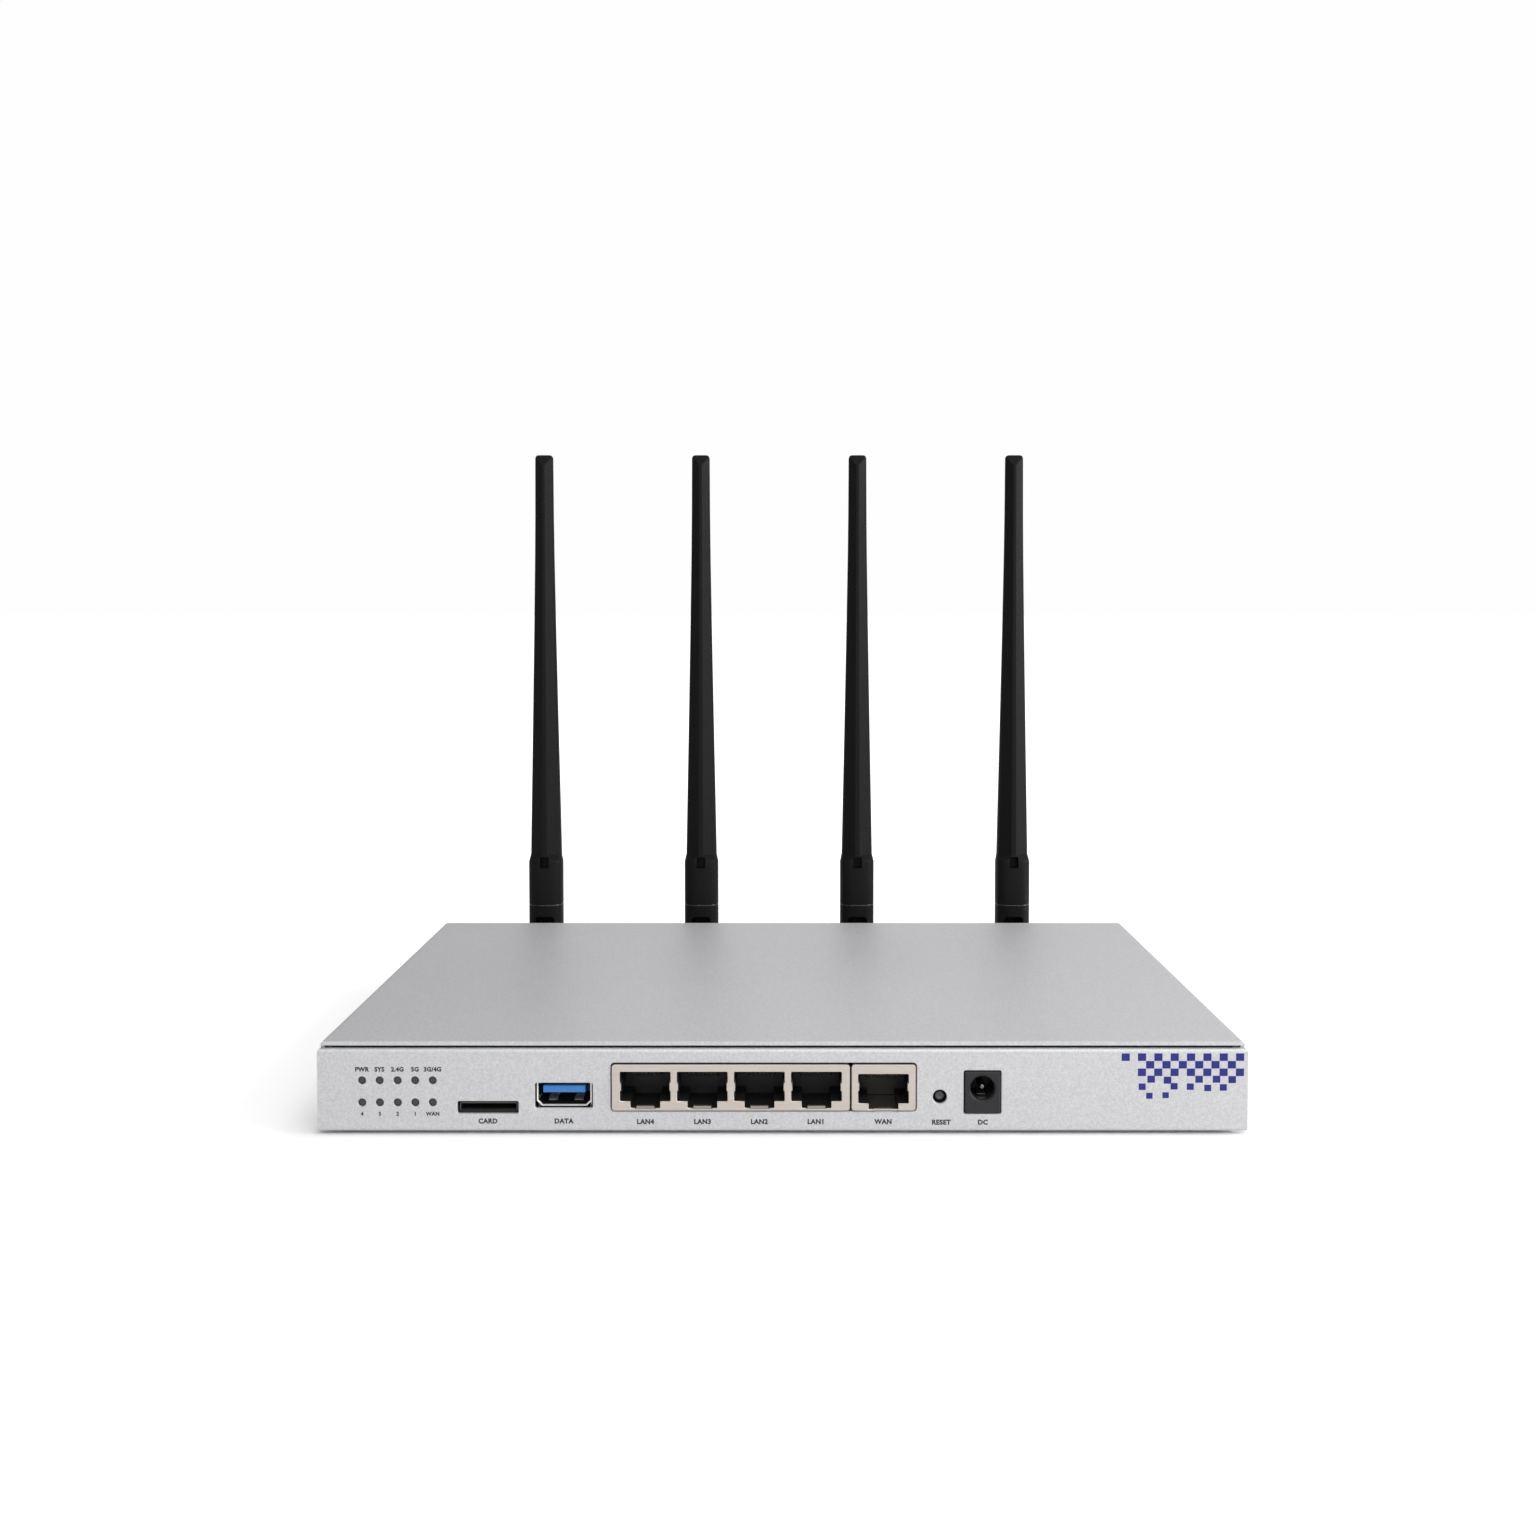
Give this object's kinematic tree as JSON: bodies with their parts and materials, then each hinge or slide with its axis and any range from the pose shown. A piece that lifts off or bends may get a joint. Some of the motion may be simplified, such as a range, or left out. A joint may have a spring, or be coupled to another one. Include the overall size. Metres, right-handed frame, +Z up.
{
  "type": "wireless router",
  "caption": "Flat folded-metal desktop wireless router and repeater with front network ports, card and USB sockets, status lights and hinged paddle antennas.",
  "frame": {"origin": "centre of the bounding box at the plane under the rubber feet", "axes": "+Z up, -Y out of the port panel (front), +Y to the antennas (rear), +X to the right seen from the front"},
  "size_m": [0.228, 0.1758, 0.181],
  "materials": {
    "silver_paint": "fine-grained satin silver paint",
    "black_rubber": "matt",
    "screw_steel": "satin",
    "circuit_board": "satin solder mask",
    "nickel_shield": "satin nickel plate",
    "dark_plastic": "matt",
    "blue_plastic": "satin",
    "smoked_clear": "smoked clear, unlit",
    "chip_resin": "matt",
    "heatsink_aluminium": "sawn and anodised",
    "black_plastic": "matt",
    "gold_plate": "gold plate over brass",
    "antenna_plastic": "fine matt moulded",
    "cable_jacket": "satin"
  },
  "bodies": {
    "housing": {"top_cover": "silver_paint", "base_tray": "silver_paint", "rubber_foot_1": "black_rubber", "rubber_foot_2": "black_rubber", "rubber_foot_3": "black_rubber", "rubber_foot_4": "black_rubber", "cover_screw_1": "screw_steel", "cover_screw_2": "screw_steel", "cover_screw_3": "screw_steel", "cover_screw_4": "screw_steel", "board_screw_1": "screw_steel", "board_screw_2": "screw_steel", "board_screw_3": "screw_steel", "board_screw_4": "screw_steel", "main_board": "circuit_board", "lan_jack_shield": "nickel_shield", "wan_jack_shield": "nickel_shield", "usb_socket_shell": "nickel_shield", "card_socket_shell": "nickel_shield", "dc_jack_pin": "nickel_shield", "radio_shield_can": "nickel_shield", "lan_jack_insert": "dark_plastic", "wan_jack_insert": "dark_plastic", "card_socket_tray": "dark_plastic", "dc_jack_body": "dark_plastic", "reset_switch_body": "dark_plastic", "usb_socket_tongue": "blue_plastic", "status_light_pipes": "smoked_clear", "processor_chip": "chip_resin", "lan_magnetics": "chip_resin", "processor_heatsink": "heatsink_aluminium", "antenna_jack_1": "gold_plate", "antenna_jack_2": "gold_plate", "antenna_jack_3": "gold_plate", "antenna_jack_4": "gold_plate", "antenna_jack_nut_1": "gold_plate", "antenna_jack_nut_2": "gold_plate", "antenna_jack_nut_3": "gold_plate", "antenna_jack_nut_4": "gold_plate", "antenna_coupling_nut_1": "antenna_plastic", "antenna_coupling_nut_2": "antenna_plastic", "antenna_coupling_nut_3": "antenna_plastic", "antenna_coupling_nut_4": "antenna_plastic", "coax_pigtail_1": "cable_jacket", "coax_pigtail_2": "cable_jacket", "coax_pigtail_3": "cable_jacket", "coax_pigtail_4": "cable_jacket"},
    "reset_button": {"reset_plunger": "black_plastic"},
    "antenna_swivel_part_1": {"antenna_knuckle_1": "antenna_plastic"},
    "antenna_1": {"antenna_fork_1": "antenna_plastic", "antenna_blade_1": "antenna_plastic"},
    "antenna_swivel_part_2": {"antenna_knuckle_2": "antenna_plastic"},
    "antenna_2": {"antenna_fork_2": "antenna_plastic", "antenna_blade_2": "antenna_plastic"},
    "antenna_swivel_part_3": {"antenna_knuckle_3": "antenna_plastic"},
    "antenna_3": {"antenna_fork_3": "antenna_plastic", "antenna_blade_3": "antenna_plastic"},
    "antenna_swivel_part_4": {"antenna_knuckle_4": "antenna_plastic"},
    "antenna_4": {"antenna_fork_4": "antenna_plastic", "antenna_blade_4": "antenna_plastic"}
  },
  "joints": [
    {"name": "reset_press", "type": "slide", "parent": "housing", "child": "reset_button", "axis": [0, 1, 0], "range_m": [0, 0.0004], "stiffness_N_per_m": 600, "springref_m": -0.0015},
    {"name": "antenna_swivel_1", "type": "hinge", "parent": "housing", "child": "antenna_swivel_part_1", "pos_m": [-0.0823, 0.07255, 0.0138], "axis": [0, 1, 0], "range_deg": [-90, 15]},
    {"name": "antenna_tilt_1", "type": "hinge", "parent": "antenna_swivel_part_1", "child": "antenna_1", "pos_m": [-0.0823, 0.08255, 0.0138], "axis": [-1, 0, 0], "range_deg": [0, 90]},
    {"name": "antenna_swivel_2", "type": "hinge", "parent": "housing", "child": "antenna_swivel_part_2", "pos_m": [-0.0283, 0.07255, 0.0138], "axis": [0, 1, 0], "range_deg": [-15, 15]},
    {"name": "antenna_tilt_2", "type": "hinge", "parent": "antenna_swivel_part_2", "child": "antenna_2", "pos_m": [-0.0283, 0.08255, 0.0138], "axis": [-1, 0, 0], "range_deg": [0, 90]},
    {"name": "antenna_swivel_3", "type": "hinge", "parent": "housing", "child": "antenna_swivel_part_3", "pos_m": [0.0257, 0.07255, 0.0138], "axis": [0, 1, 0], "range_deg": [-15, 15]},
    {"name": "antenna_tilt_3", "type": "hinge", "parent": "antenna_swivel_part_3", "child": "antenna_3", "pos_m": [0.0257, 0.08255, 0.0138], "axis": [-1, 0, 0], "range_deg": [0, 90]},
    {"name": "antenna_swivel_4", "type": "hinge", "parent": "housing", "child": "antenna_swivel_part_4", "pos_m": [0.0797, 0.07255, 0.0138], "axis": [0, 1, 0], "range_deg": [-15, 90]},
    {"name": "antenna_tilt_4", "type": "hinge", "parent": "antenna_swivel_part_4", "child": "antenna_4", "pos_m": [0.0797, 0.08255, 0.0138], "axis": [-1, 0, 0], "range_deg": [0, 90]}
  ]
}
